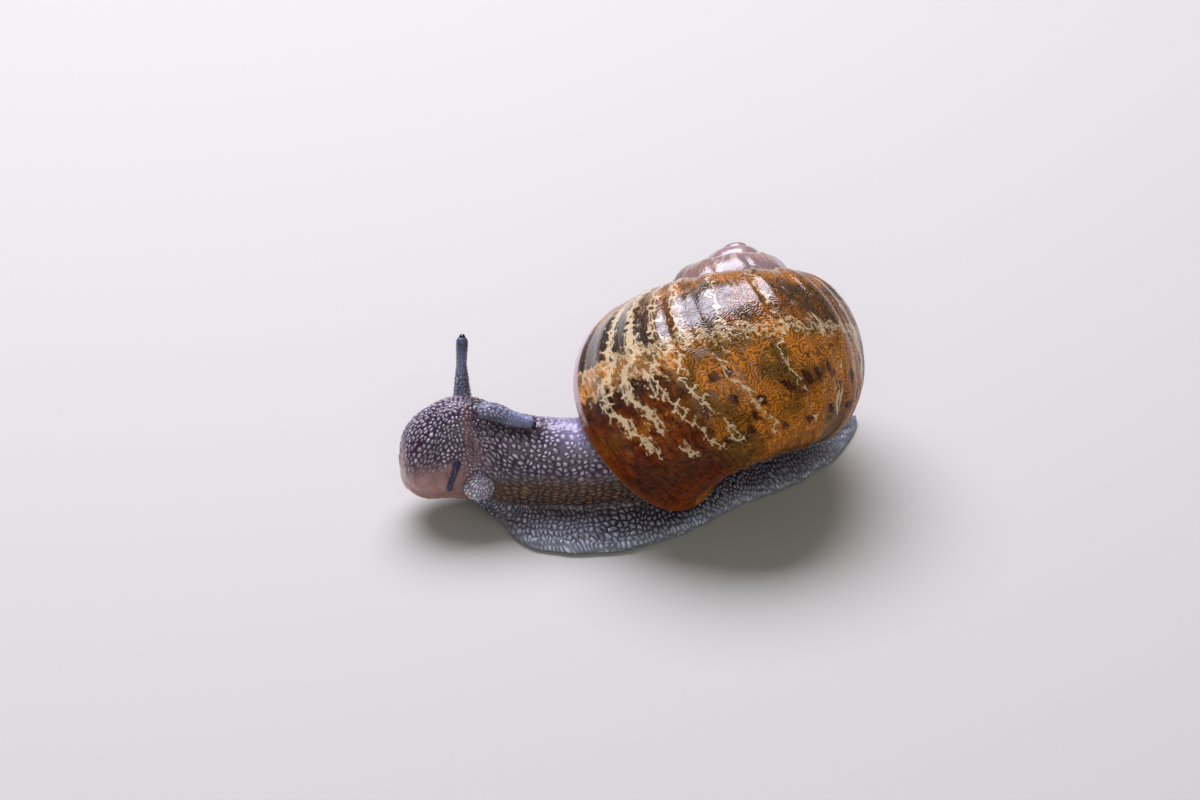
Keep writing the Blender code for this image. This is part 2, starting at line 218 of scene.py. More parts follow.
def colour(name, description, code):
    """A property for a colour, which starts at an sRGB hex value."""
    shade = {"default": linear(code), "subtype": "COLOR", "min": 0, "max": 1}
    return FloatVectorProperty(name=name, description=description, **shade)


def number(name, description, default, unit="NONE"):
    """A property for a plain number, or one of the given unit."""
    return FloatProperty(name=name, description=description, default=default, unit=unit)


def whole(name, description, default):
    """A property for a whole number."""
    return IntProperty(name=name, description=description, default=default)


class ShellSettings(bpy.types.PropertyGroup):
    """The shell's sizes and colours"""

    whorls: number("Whorls", "Turns from the spiral's middle to the lip", 4.6)
    first_whorl: number("First Whorl", "The turn at which the shell starts", 0.9)
    growth: number("Growth", "How much wider each turn is than the last", 2.165)
    radius: length("Last Radius", "The spiral's radius at the lip", 11.12 * MM)
    wall: length("Wall", "Thickness of the shell at the lip", 0.55 * MM)
    flare: length("Lip Flare", "How far the lip turns outwards", 0.9 * MM)
    depth: number("Mouth Depth", "Turns that the inner wall is seen", 0.25)
    crease: length("Growth Creases", "Height of the old growth stops", 0.22 * MM)
    wrinkle: length("Wrinkles", "Height of the hammered wrinkles", 0.10 * MM)
    rings: whole("Rings", "Rings along the spiral", 500)
    points: whole("Ring Points", "Points in each ring", 190)
    ochre: colour("Ochre", "The shell's ground", "#D68426")
    olive: colour("Olive", "The greenish clouds on the ground", "#7D5515")
    brown: colour("Brown", "The upper bands", "#1A0906")
    red: colour("Red Brown", "The lower bands", "#671B06")
    cream: colour("Cream", "The flames that break the bands", "#E8D0A4")
    # the worn first turns' horn colour, partly tinted lavender as a painted reflection of the light
    # overhead
    worn_horn_and_sheen: colour("Horn", "The worn first turns", "#A08A8A")
    orange: colour("Orange", "The glow along the base and behind the lip", "#84420F")
    lip: colour("Lip", "The reflected lip", "#C4B0B4")


class SkinSettings(bpy.types.PropertyGroup):
    """The skin's mesh, its relief and its colours"""

    voxel: length("Grain", "The size of the skin's mesh before it is thinned", 0.15 * MM)
    triangles: whole("Triangles", "The most triangles the skin may keep", 195000)
    relief: length("Granule Height", "How high the granules stand", 0.13 * MM)
    groove: colour("Furrows", "The skin between the granules", "#3C2240")
    granule: colour("Granules", "The raised granules of head and neck", "#C6BAC6")
    flank: colour("Flank", "The thin skin low on the neck", "#351A07")
    bead: colour("Flank Granules", "The granules low on the neck", "#7E5636")
    slate: colour("Skirt Furrows", "The furrows of the foot's edge", "#2C2733")
    skirt: colour("Skirt", "The granules of the foot's edge", "#9A98A8")
    edge: colour("Foot Edge", "The pale line along the foot's edge", "#C4CBD8")
    feeler: colour("Upper Feelers", "The smooth skin of the upper feelers", "#7C82A8")
    small_feeler: colour("Lower Feelers", "The skin of the lower feelers", "#2B2746")
    lobe_furrow: colour("Lobe Furrows", "The furrows of the pale lobes", "#877C91")
    lobe: colour("Lobes", "The pale lobes beside the mouth", "#F4F0F6")
    # painted sheen: the nape's colour is lightened to lavender as a painted reflection of the light
    # overhead on the wet skin
    painted_nape_sheen: colour("Nape", "The smooth skin that the shell slides over", "#9A94B4")
    # painted shade: the crease colour darkens the mouth's slit, the folds, the feeler's root and the
    # collar under the shell's lip
    crease: colour("Creases", "The mouth and the deepest folds", "#2B1622")
    face: colour("Face", "The bare skin of the face", "#AB7F7A")
    sole: colour("Sole", "The underside", "#8C837A")


class EyeSettings(bpy.types.PropertyGroup):
    """The eyes' size and colours"""

    radius: length("Eye Radius", "Radius of the dark eye at a feeler's tip", 0.42 * MM)
    black: colour("Black", "The eye", "#0B0710")
    haze: colour("Haze", "The faint clouds in the black", "#2A2030")


class StageSettings(bpy.types.PropertyGroup):
    """The floor's colour and the lights"""

    floor: colour("Floor", "The plain floor", "#C2C1B8")
    sky: number("Sky", "Power of the large light overhead", 5.2, "POWER")
    fill: number("Fill", "Power of the light beside the camera", 1.0, "POWER")


def add(tree, made, kind, *values):
    """Adds a node of a kind. A value is plain, or the row or row.output that feeds it, or the
    kind and the values of one more node that does."""
    name, settings, places = KINDS[kind]
    node = tree.nodes.new(name)
    for key, value in settings.items():
        setattr(node, key, value)
    for place, value in zip(places, values):
        if place == ".color_ramp":
            stops = node.color_ramp.elements
            while len(stops) < len(value):
                stops.new(1.0)
            for stop, (where, grey) in zip(stops, value):
                stop.position, stop.color = where, (grey, grey, grey, 1.0)
        elif isinstance(place, str) and place.startswith("."):
            setattr(node, place[1:], value)
        elif isinstance(value, str) and place != "Name":
            tree.links.new(output_of(made, value), node.inputs[place])
        elif isinstance(value, tuple) and value[0] in KINDS:
            tree.links.new(first_output(add(tree, made, *value)), node.inputs[place])
        else:
            coloured = node.inputs[place].type == "RGBA"
            node.inputs[place].default_value = (*value, 1.0) if coloured else value
    return node


def first_output(node):
    """The first of a node's outputs that is in use."""
    return next(output for output in node.outputs if output.enabled)


def output_of(made, link):
    """The output that row or row.output names."""
    row, _, name = link.partition(".")
    return made[row].outputs[name] if name else first_output(made[row])


def weave(tree, rows, made):
    """Adds the rows' nodes in order. A row is a name, a kind and its values."""
    for name, kind, *values in rows:
        made[name] = add(tree, made, kind, *values)


def grown(name, mesh, rows, values):
    """The mesh that a geometry tree of these rows makes of another, with these inputs."""
    tree = bpy.data.node_groups.new(name, "GeometryNodeTree")
    for label, value in values.items():
        tree.interface.new_socket(label, in_out="INPUT", socket_type=SOCKETS[type(value)])
    tree.interface.new_socket("Geometry", in_out="OUTPUT", socket_type="NodeSocketGeometry")
    made = {"in": tree.nodes.new("NodeGroupInput")}
    weave(tree, rows, made)
    tree.links.new(output_of(made, rows[-1][0]), tree.nodes.new("NodeGroupOutput").inputs[0])
    obj = in_scene(name, mesh)
    modifier = obj.modifiers.new(name, "NODES")
    modifier.node_group = tree
    for item in tree.interface.items_tree:
        if item.in_out == "INPUT" and values[item.name] is not None:
            modifier[item.identifier] = values[item.name]
    return plain(obj)


def plain(obj):
    """Turns an object with modifiers into its finished mesh, and removes the object."""
    bpy.context.view_layer.update()
    seen = obj.evaluated_get(bpy.context.evaluated_depsgraph_get())
    mesh = bpy.data.meshes.new_from_object(seen)
    bpy.data.objects.remove(obj)
    return mesh


def thinned(mesh, most):
    """The mesh with the triangles of its flattest parts merged, until few enough are left."""
    mesh.calc_loop_triangles()
    obj = in_scene("thinned", mesh)
    modifier = obj.modifiers.new("thin", "DECIMATE")
    modifier.ratio = min(1.0, most / len(mesh.loop_triangles))
    return plain(obj)


def new_finish(name, rows, links, values):
    """A material whose surface takes these rows' last nodes, and plain values."""
    material = bpy.data.materials.new(name)
    material.use_nodes = True
    tree, made = material.node_tree, {}
    weave(tree, rows, made)
    surface = tree.nodes["Principled BSDF"]
    for label, row in links.items():
        tree.links.new(output_of(made, row), surface.inputs[label])
    for label, value in values.items():
        surface.inputs[label].default_value = value
    return material


def mesh_of(bm, name):
    """The mesh of this name that the faces make, all of them outwards, and the end of bm."""
    bmesh.ops.recalc_face_normals(bm, faces=bm.faces)
    mesh = bpy.data.meshes.new(name)
    bm.to_mesh(mesh)
    bm.free()
    return mesh


def in_scene(name, data):
    """A new object in the scene."""
    obj = bpy.data.objects.new(name, data)
    bpy.context.scene.collection.objects.link(obj)
    return obj


def placed(name, mesh, material, nodes):
    """Puts a finished mesh in the scene as a piece that stands for the named solids."""
    obj = in_scene(name, mesh)
    mesh.materials.clear()
    mesh.materials.append(material)
    mesh.polygons.foreach_set("use_smooth", [True] * len(mesh.polygons))
    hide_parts(*nodes)
    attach(obj, "root")
    return obj


def shell_frame():
    """Stands the spiral where the shell lies: its middle line, its spin and its apex."""
    up = SHELL_AXIS.normalized()
    side = Vector((0, 1, 0)).cross(up).normalized()
    turned = Matrix((side, up.cross(side), up)).transposed().to_4x4()
    spin = Matrix.Rotation(math.radians(SHELL_SPIN_DEG), 4, "Z")
    return Matrix.Translation(APEX + SHIFT) @ turned @ spin


def shell_ring(settings, turn, margin, count):
    """The tube's outline at a turn, grown by a margin, as the solids have it."""
    radius = settings.radius * settings.growth ** (turn - settings.whorls)
    tilt = math.radians(SECTION_TILT_DEG)
    ring = []
    for i in range(count):
        angle = 2 * math.pi * i / count
        u = (HALF_WIDTH + margin / radius) * math.cos(angle)
        v = (HALF_HEIGHT + margin / radius) * math.sin(angle)
        across = u * math.cos(tilt) - v * math.sin(tilt)
        along = u * math.sin(tilt) + v * math.cos(tilt)
        here = turn + LEAN_TURNS * along / HALF_HEIGHT
        far = settings.radius * settings.growth ** (here - settings.whorls)
        sweep = -2 * math.pi * here
        x, y = far * (1 + across) * math.cos(sweep), far * (1 + across) * math.sin(sweep)
        ring.append(shell_frame() @ Vector((x, y, far * (along - FALL))))
    return ring


# Millimetres of growth along the outermost line, and of outline round the tube, for each
# metre of the spiral's radius.
GROWTH_PER_RADIUS = 14976.0
OUTLINE_PER_RADIUS = 1070.0

# The shell's tree. The grid's X runs along the spiral: its outside from the apex to
# the lip, then round the lip, then back along the wall of the mouth. Y runs round it.
LIP_START, LIP_END = 0.90, 0.925
ROUND_APEX, SHUT_MOUTH = 0.012, 0.985
SHELL_ROWS = (
    ("grid", "grid", 1.0, 1.0, "in.Rings", "in.Ring Points"),
    ("sheet", "split", ("position",)),
    ("along", "+", "sheet.X", 0.5),
    ("even", "*", "sheet.Y", 2 * math.pi),
    ("angle", "+", "even", ("*", ("sine", "even"), -0.35)),
    ("least", "**", "in.Growth", ("-", "in.First Whorl", "in.Whorls")),
    ("log", "logarithm", ("range", "along", 0.0, LIP_START, "least", 1.0), "in.Growth"),
    ("behind", "-", "log", ("range", "along", LIP_END, 1.0, 0.0, "in.Mouth Depth")),
    ("turn", "+", "behind", "in.Whorls"),
    ("size", "**", "in.Growth", "behind"),
    ("radius", "*", "size", "in.Last Radius"),
    # the lip: a half round from the outer wall to the inner, and a flare behind it
    ("roll", "range", "along", LIP_START, LIP_END, 0.0, math.pi),
    ("half wall", "*", "in.Wall", 0.5),
    ("rim", "*", ("-", ("cosine", "roll"), 1.0), "half wall"),
    ("ahead", "/", ("*", ("sine", "roll"), "half wall"), ("*", "in.Last Radius", 3 * math.pi)),
    ("near lip", "exponent", ("*", "behind", 95.0)),
    ("flare", "*", "near lip", "in.Lip Flare"),
    # relief of the outside: old growth stops, and wrinkles like hammered metal
    ("reach", "*", "radius", GROWTH_PER_RADIUS),
    ("stop", "range", ("line noise", "reach", 0.33, 2.0, 0.6), 0.25, 0.75, -1.0, 1.0),
    ("grown up", "smooth", "size", 0.1, 0.45),
    ("rough", "*", ("smooth", "along", LIP_START - 0.004, LIP_START, 1.0, 0.0), "grown up"),
    ("sine round", "sine", "angle"),
    ("cosine round", "cosine", "angle"),
    ("wave size", "*", "radius", 1.1 / MM),
    ("wave z", "*", "sine round", "wave size"),
    ("wave", "join", ("*", "reach", 0.9), ("*", "cosine round", "wave size"), "wave z"),
    ("wrinkle", "range", ("ridges", "wave", 0.55, 1.5, 0.5), 0.3, 0.9, 0.5, -1.0),
    ("relief", "+", ("*", "stop", "in.Growth Creases"), ("*", "wrinkle", "in.Wrinkles")),
    # the tube's section, rounded off at the apex and closed deep in the mouth
    ("extra", "/", ("+", ("+", "rim", "flare"), ("*", "relief", "rough")), "radius"),
    ("start", "range", "along", 0.0, ROUND_APEX, 1.0, 0.0),
    ("dome", "sqrt", ("-", 1.0, ("*", "start", "start"))),
    ("close", "*", "dome", ("range", "along", SHUT_MOUTH, 1.0, 1.0, 0.0)),
    ("across", "*", ("*", ("+", "extra", HALF_WIDTH), "close"), "cosine round"),
    ("up", "*", ("*", ("+", "extra", HALF_HEIGHT), "close"), "sine round"),
    ("flat", "join", "across", "up", 0.0),
    ("section", "split", ("turn z", "flat", math.radians(SECTION_TILT_DEG))),
    ("here", "+", "turn", ("+", ("*", "section.Y", LEAN_TURNS / HALF_HEIGHT), "ahead")),
    ("here size", "**", "in.Growth", ("-", "here", "in.Whorls")),
    ("sweep", "*", "here", -2 * math.pi),
    ("outward", "+", "section.X", 1.0),
    ("x share", "*", "outward", ("cosine", "sweep")),
    ("y share", "*", "outward", ("sine", "sweep")),
    ("shares", "join", "x share", "y share", ("-", "section.Y", FALL)),
    ("point", "scale", "shares", ("*", "here size", "in.Last Radius")),
    # what the finish reads: millimetres along the growth, angle round the tube and
    # millimetres round it, then how far inside the mouth, the turn and how near the lip
    ("growth", "join", "reach", "angle", ("*", "angle", ("*", "radius", OUTLINE_PER_RADIUS))),
    ("side", "join", ("range", "along", LIP_START - 0.001, LIP_END), "turn", "near lip"),
    ("with side", "store corner", ("store corner", "grid", "growth", "growth"), "side", "side"),
    ("with uv", "store uv", "with side", "UVMap", ("join", "along", "sheet.Y", 0.0)),
    ("smooth", "shade smooth", ("merge", ("move to", "with uv", "point"), 0.003 * MM)),
    ("coloured", "set material", ("realize", "smooth"), "in.Material"),
)


# The pillar in the spiral's middle, in millimetres from the apex, and its colour's angle.
PILLAR_SIDES, PILLAR_RINGS = 48, 61
PILLAR_FOOT, PILLAR_LENGTH = -21.0, 20.3
NAVEL_ANGLE = math.radians(-128)

# How dark the bands are by angle round the tube, in degrees from its outermost line,
# where the growth is young, near the lip, and where it is older.
YOUNG_BANDS = (
    *((-180, 0.15), (-122, 0.2), (-108, 0.85), (-75, 0.95), (-44, 0.85), (-32, 0.5), (-26, 0.85)),
    *((-9, 0.95), (-4, 0.15), (10, 0.1), (14, 0.95), (38, 0.9), (45, 0.45), (75, 0.55), (180, 0.4)),
)
OLD_BANDS = (
    *((-180, 0.15), (-122, 0.2), (-106, 0.75), (-82, 0.5), (-66, 0.18), (-20, 0.1), (3, 0.12)),
    *((11, 0.05), (15, 0.6), (38, 0.7), (48, 0.3), (75, 0.45), (180, 0.3)),
)
# How red the bands are, the same way.
RED_PARTS = (
    *((-180, 1.0), (-94, 1.0), (-80, 0.55), (-68, 0.3), (-58, 0.4), (-46, 1.0)),
    *((-20, 0.6), (-10, 0.0), (180, 0.0)),
)
# The flames that cross the bands, as turns and how strong each is.
FLAMES_FROM, FLAMES_TO = 4.3, 4.6
FLAMES = (
    *((4.30, 0.0), (4.36, 0.0), (4.37, 0.35), (4.378, 0.0), (4.425, 0.0), (4.432, 0.4), (4.44, 0.0)),
    *((4.47, 0.0), (4.478, 0.62), (4.486, 0.1), (4.498, 0.1), (4.506, 0.75), (4.514, 0.1)),
    *((4.5285, 0.2), (4.537, 1.0), (4.5455, 0.2), (4.55, 0.0), (4.5585, 0.1), (4.567, 1.0)),
    *((4.5755, 0.1), (4.58, 0.0)),
)
# How far apart the shell's fine wrinkles lie, in millimetres.
RIPPLE_MM = 0.46


def ramped(table, low, high):
    """A table's places as the stops of a ramp that runs from low to high."""
    return [((place - low) / (high - low), amount) for place, amount in table]


def shell_material(settings):
    """Snail shell: chalk under a thin horny skin, laid down at the lip in fine lines.
    The horny skin gives a waxy gloss, and the lines and wrinkles break it up."""
    young, old, red = (ramped(table, -180, 180) for table in (YOUNG_BANDS, OLD_BANDS, RED_PARTS))
    rows = (
        ("growth", "attribute", "growth"),
        ("side", "attribute", "side"),
        ("object", "coordinates"),
        ("coil", "split", "growth.Vector"),
        ("age", "split", "side.Vector"),
        # flat is in millimetres, so a scale is a number of cells to the millimetre
        ("flat", "join", "coil.X", "coil.Z", 0.0),
        # ragged edges, 1 mm down to the finest that shows, and a drift of 5 mm
        ("jag", "flat noise", "flat", 0.95, 6.0, 0.72),
        ("ragged", "-", "jag", 0.5),
        ("drift", "flat noise", "flat", 0.22, 2.0),
        ("drifted", "-", "drift", 0.5),
        ("recent", "smooth", "age.Y", 4.46, 4.50),
        # bands
        ("degrees", "*", "coil.Y", 180 / math.pi),
        ("rough edge", "*+", "ragged", 34.0, "degrees"),
        ("band share", "range", "rough edge", -180.0, 180.0),
        ("young bands", "ramp", "band share", young),
        ("old bands", "ramp", "band share", old),
        ("bands", "mix", "recent", "old bands", "young bands"),
        # flames along the old lips, zigzag and ragged
        ("zig", "pingpong", "coil.Z", 1.7),
        ("late below", "range", "degrees", -10.0, -60.0, 0.0, 0.026),
        ("late", "+", ("smooth", "degrees", -8.0, 8.0, 0.0, 0.022), "late below"),
        ("zag", "*+", "zig", 0.0032, ("+", "late", "age.Y")),
        ("swayed", "*+", "drifted", 0.014, ("*+", "ragged", 0.029, "zag")),
        ("flame share", "range", "swayed", FLAMES_FROM + 0.003, FLAMES_TO + 0.003),
        ("named flames", "ramp", "flame share", ramped(FLAMES, FLAMES_FROM, FLAMES_TO)),
        ("free flat", "join", ("*+", "zig", 0.4, "coil.X"), "coil.Z", 0.0),
        ("free", "flat noise", ("stretch", "free flat", (0.42, 0.11, 0.0)), 1.0, 6.0, 0.62),
        ("free shown", "*", ("smooth", "free", 0.6, 0.65), ("smooth", "age.Y", 4.36, 4.28)),
        ("branch y", "*+", "drifted", 3.0, "coil.Z"),
        ("branch flat", "join", ("*+", "ragged", 1.8, "coil.X"), "branch y", 0.0),
        ("branches", "cell gaps", ("stretch", "branch flat", (1.0, 0.55, 0.0)), 1.25, 1.0),
        ("branch near", "smooth", "named flames", 0.12, 0.35),
        ("branch there", "*", ("smooth", "branches", 0.15, 0.07), "branch near"),
        ("core branches", "maximum", "branch there", ("smooth", "named flames", 0.66, 0.8)),
        ("joined", "smooth", "rough edge", -42.0, -26.0),
        ("unbroken", "maximum", ("smooth", "drift", 0.38, 0.52), "joined"),
        ("all flames", "maximum", ("*", "core branches", "unbroken"), "free shown"),
        ("flames low", "*", "all flames", ("smooth", "rough edge", -66.0, -52.0)),
        ("flames", "smooth", "flames low", 0.3, 0.5),
        # wrinkles across the growth lines; the colour is darkened in their troughs as painted shade,
        # leaving their crests lighter
        ("bent", "*+", ("flat noise", "flat", 0.42, 2.5, 0.55), 3.9, ("*+", "coil.X", 0.42, "coil.Z")),
        ("cut", "*+", "ragged", 2.2, ("sine", ("*", "bent", 2 * math.pi / RIPPLE_MM))),
        ("wrinkle", "smooth", "cut", -0.9, 0.7),
        # growth lines, a third of a millimetre apart
        ("fine", "flat noise", ("stretch", "flat", (3.0, 0.3, 0.0)), 1.0, 3.0, 0.6),
        ("streak shade", "range", "fine", 0.3, 0.7, 0.76, 1.2),
        # the ground, with clouds 5 mm across, and painted shade in the wrinkles' troughs
        ("cloudy", "smooth", ("noise", "object.Object", 0.21 / MM, 4.0, 0.6), 0.42, 0.62),
        ("wrinkle depth", "*", ("smooth", "age.Y", 4.56, 4.44, 0.45, 1.0), 0.75),
        ("crests", "*+", "wrinkle", "wrinkle depth", ("-", 1.2, "wrinkle depth")),
        ("wrinkled", "scale", ("blend", "cloudy", settings.ochre, settings.olive), "crests"),
        ("pale young", "*", ("smooth", "rough edge", -20.0, -2.0), "recent"),
        ("pale amount", "*", "pale young", ("smooth", "jag", 0.49, 0.62, 0.05, 0.65)),
        ("ground", "blend", "pale amount", "wrinkled", settings.cream),
        # spots, where an old band is broken up
        ("spot", "smooth", ("*+", "ragged", 0.7, ("cells", "flat", 0.30, 1.0)), 0.29, 0.12),
        ("spot high", "smooth", "rough edge", -4.0, -14.0),
        ("spot there", "*", ("smooth", "rough edge", -68.0, -55.0), "spot high"),
        ("dark", "maximum", "bands", ("*", ("*", "spot", "spot there"), 0.88)),
        ("darker", "maximum", "dark", ("*", ("smooth", "free", 0.5, 0.38), 0.3)),
        ("red part", "ramp", "band share", red),
        ("red there", "*", "red part", ("range", "recent", 0.0, 1.0, 0.4, 1.0)),
        ("brown", "blend", "red there", settings.brown, settings.red),
        ("grit shade", "range", ("flat noise", "flat", 1.1, 6.0, 0.75), 0.38, 0.62, 0.35, 1.5),
        ("grit there", "mix", "darker", 1.0, "grit shade"),
        ("gritty", "scale", ("blend", "darker", "ground", "brown"), "grit there"),
        ("line", "*", ("smooth", "rough edge", 6.0, 8.5), ("smooth", "rough edge", 12.0, 10.0)),
        ("cream amount", "maximum", ("*", "line", 0.6), ("*", "flames", 0.85)),
        ("flamed", "blend", "cream amount", ("scale", "gritty", "streak shade"), settings.cream),
        # the first turns fade to the worn horn colour, whose lavender tint is partly a painted
        # reflection
        ("worn", "smooth", "age.Y", 4.1, 3.0, 0.0, 0.85),
        ("flamed early", "blend", "worn", "flamed", settings.worn_horn_and_sheen),
        ("lip glow", "smooth", "age.Z", 0.45, 0.8),
        ("glow", "maximum", ("smooth", "rough edge", -116.0, -134.0), "lip glow"),
        ("glowing", "blend", ("*", "glow", 0.42), "flamed early", settings.orange),
        ("lip pale", "*", ("smooth", "rough edge", -22.0, -2.0), ("smooth", "age.Z", 0.52, 0.72)),
        ("lip there", "maximum", "lip pale", ("smooth", "age.X", 0.05, 0.4)),
        ("finished", "blend", "lip there", "glowing", settings.lip),
        # relief too fine for the mesh: growth lines and the wrinkles
        ("deep", "*", "wrinkle", "wrinkle depth"),
        ("uneven", "range", ("maximum", "worn", "lip there"), 0.0, 1.0, 1.0, 0.15),
        ("height", "*+", "fine", 0.4, ("*", "deep", "uneven")),
        ("bump", "bump", 0.8, 0.06 * MM, "height"),
        ("film", "bump", 0.35, 0.06 * MM, "height"),
        ("gloss", "range", "fine", 0.3, 0.7, 0.2, 0.34),
        ("polish", "smooth", "rough edge", -45.0, 12.0, 0.05, 1.0),
    )
    links = {"Base Color": "finished", "Normal": "bump", "Roughness": "gloss"}
    links |= {"Coat Normal": "film", "Coat Weight": "polish"}
    # the horny skin is a little rough, under a thin wet film that bends light more
    values = {"IOR": 1.4, "Specular IOR Level": 0.12, "Coat Roughness": 0.15, "Coat IOR": 1.6}
    return new_finish("shell_periostracum", rows, links, values)


class SNAIL_OT_shell(bpy.types.Operator):
    """Winds the shell with geometry nodes and gives it its finish"""

    bl_idname = "snail.shell"
    bl_label = "Shell"

    def execute(self, context):
        settings = context.scene.snail_shell
        material = shell_material(settings)
        values = {**sizes_of(settings), "Material": material}
        mesh = grown("wind_shell", bpy.data.meshes.new("seed"), SHELL_ROWS, values)
        bm = bmesh.new()
        bm.from_mesh(mesh)
        add_columella(bm)
        mesh = mesh_of(bm, "shell_wound")
        mesh.transform(shell_frame())
        placed("shell_whorls", mesh, material, ["shell"])
        return {"FINISHED"}


def sizes_of(settings):
    """A group's sizes by name, for the tree whose inputs have the same names."""
    sizes = [p for p in settings.bl_rna.properties if p.type in ("FLOAT", "INT") and not p.is_array]
    return {size.name: getattr(settings, size.identifier) for size in sizes}


def add_columella(bm):
    """The pillar in the spiral's middle, which closes its navel."""
    rings = []
    angles = [2 * math.pi * i / PILLAR_SIDES for i in range(PILLAR_SIDES)]
    for k in range(PILLAR_RINGS):
        share = k / (PILLAR_RINGS - 1)
        height = PILLAR_FOOT + PILLAR_LENGTH * share
        # thin above, wider towards the navel, and rounded off at both ends
        radius = 0.3 + 2.0 * max(0.0, (-4.0 - height) / 17.0) ** 0.9
        radius *= min(1.0, (share / 0.05) ** 0.5, ((1 - share) / 0.02) ** 0.5)
        radius = max(radius, 0.01)
        ring = [Vector((radius * math.cos(a), radius * math.sin(a), height)) * MM for a in angles]
        rings.append([bm.verts.new(place) for place in ring])
    for low, high in zip(rings, rings[1:]):
        for i in range(PILLAR_SIDES):
            bm.faces.new((low[i], low[i - 1], high[i - 1], high[i]))
    bm.faces.new(rings[0])
    bm.faces.new(rings[-1][::-1])
    # its lower end wears the colour of the newest turn's base
    growth, side = (bm.loops.layers.float_vector[name] for name in ("growth", "side"))
    for ring in rings[: PILLAR_RINGS // 2]:
        for loop in (loop for vert in ring for loop in vert.link_loops):
            loop[growth] = loop.vert.co.x / MM, NAVEL_ANGLE, loop.vert.co.y / MM
            loop[side] = 0.0, 4.5, 0.0


def station_values(t):
    """The stations' values at t, on a smooth curve through them, in millimetres."""
    i = min(int(t), len(STATIONS) - 2)
    f = t - i
    before, here = STATIONS[max(i - 1, 0)], STATIONS[i]
    there, after = STATIONS[i + 1], STATIONS[min(i + 2, len(STATIONS) - 1)]
    values = []
    for p, q, r, s in zip(before, here, there, after):
        value = (2 * f**3 - 3 * f**2 + 1) * q + (f**3 - 2 * f**2 + f) * (r - p) / 2
        value += (3 * f**2 - 2 * f**3) * r + (f**3 - f**2) * (s - q) / 2
        values.append(min(max(value, min(q, r)), max(q, r)))
    return values


def softened(line, times):
    """A line with its corners cut, its two ends kept."""
    for _ in range(times):
        cut = [line[0]]
        for (a, b), (c, d) in zip(line, line[1:]):
            cut += [((1 - f) * a + f * c, (1 - f) * b + f * d) for f in (0.25, 0.75)]
        line = cut + [line[-1]]
    return line


def step(value, low, high):
    """0 below low, 1 above high, smooth between; high may be the lower."""
    x = min(1.0, max(0.0, (value - low) / (high - low)))
    return x * x * (3 - 2 * x)


def body_ring(t):
    """The body's outline at station t, as places with their distance from the ridge."""
    x, y, under, sole, back, top = station_values(t)
    near = station_values(max(t - 0.5, 0.0))
    far = station_values(min(t + 0.5, len(STATIONS) - 1.001))
    heading = Vector((far[0] - near[0], far[1] - near[1], 0)).normalized()
    left = Vector((heading.y, -heading.x, 0))
    rise = top - under
    edge = min(EDGE_TOP, rise * 0.4)
    crease = min(CREASE_HEIGHT, rise * 0.45)
    sides = []
    for way in (1, -1):
        ripple = 0.35 * noise.noise(Vector((x * 0.35, 7.0 * way, 3.0))) * step(sole, 2.0, 7.0)
        wide = sole + ripple
        shoulder = wide * 0.62 + back * 0.38, edge + (crease - edge) * 0.35
        half = [(0.0, 0.0), (wide * 0.5, 0.0), (wide * 0.93, 0.0), (wide, edge * 0.35)]
        half += [(wide * 0.97, edge * 0.8), shoulder]
        rounded = 0.8 * step(x, -15.5, -19.0) * min(1.0, rise / 8)
        half[:5] = [(a, z + rounded * (a / wide) ** 2) for a, z in half[:5]]
        waist = 0.09 * back * step(sole, 4.5, 8.0) * step(x, 8.0, 0.0)
        half.append((back - waist, crease + 0.1))
        for i in range(10):
            angle = math.pi / 2 * i / 9
            pinch = waist * (1 - step(i, 0, 3))
            dome = crease + 0.5 + (rise - crease - 0.5) * math.sin(angle)
            half.append(((back - pinch) * math.cos(angle), dome))
        line = np.array(softened(half, 2))
        gone = np.concatenate(([0], np.cumsum(np.hypot(*np.diff(line, axis=0).T))))
        at = np.linspace(0, gone[-1], HALF_POINTS)
        a, z = np.interp(at, gone, line[:, 0]), np.interp(at, gone, line[:, 1])
        sides.append((a * way, z, (gone[-1] - at) * way))
    outline = [*zip(*sides[0])] + [*zip(*sides[1])][-2:0:-1]
    centre = Vector((x, y, under))
    return centre, [(centre + left * a + Vector((0, 0, z)), v) for a, z, v in outline]


def loft(bm, rings, values, layers):
    """A closed tube over equal rings with a value for each point, as new faces of bm."""
    made = []
    for ring, marks in zip(rings, values):
        made.append([])
        for place, mark in zip(ring, marks):
            vert = bm.verts.new((place + SHIFT / MM) * MM)
            for layer, value in zip(layers, mark):
                vert[layer] = value
            made[-1].append(vert)
    count = len(made[0])
    for low, high in zip(made, made[1:]):
        for i in range(count):
            bm.faces.new((low[i - 1], low[i], high[i], high[i - 1]))
    for ring in (made[0], made[-1]):
        middle = bm.verts.new(sum((v.co for v in ring), Vector()) / count)
        for layer in layers:
            middle[layer] = ring[0][layer]
        for i in range(count):
            bm.faces.new((ring[i], ring[i - 1], middle))


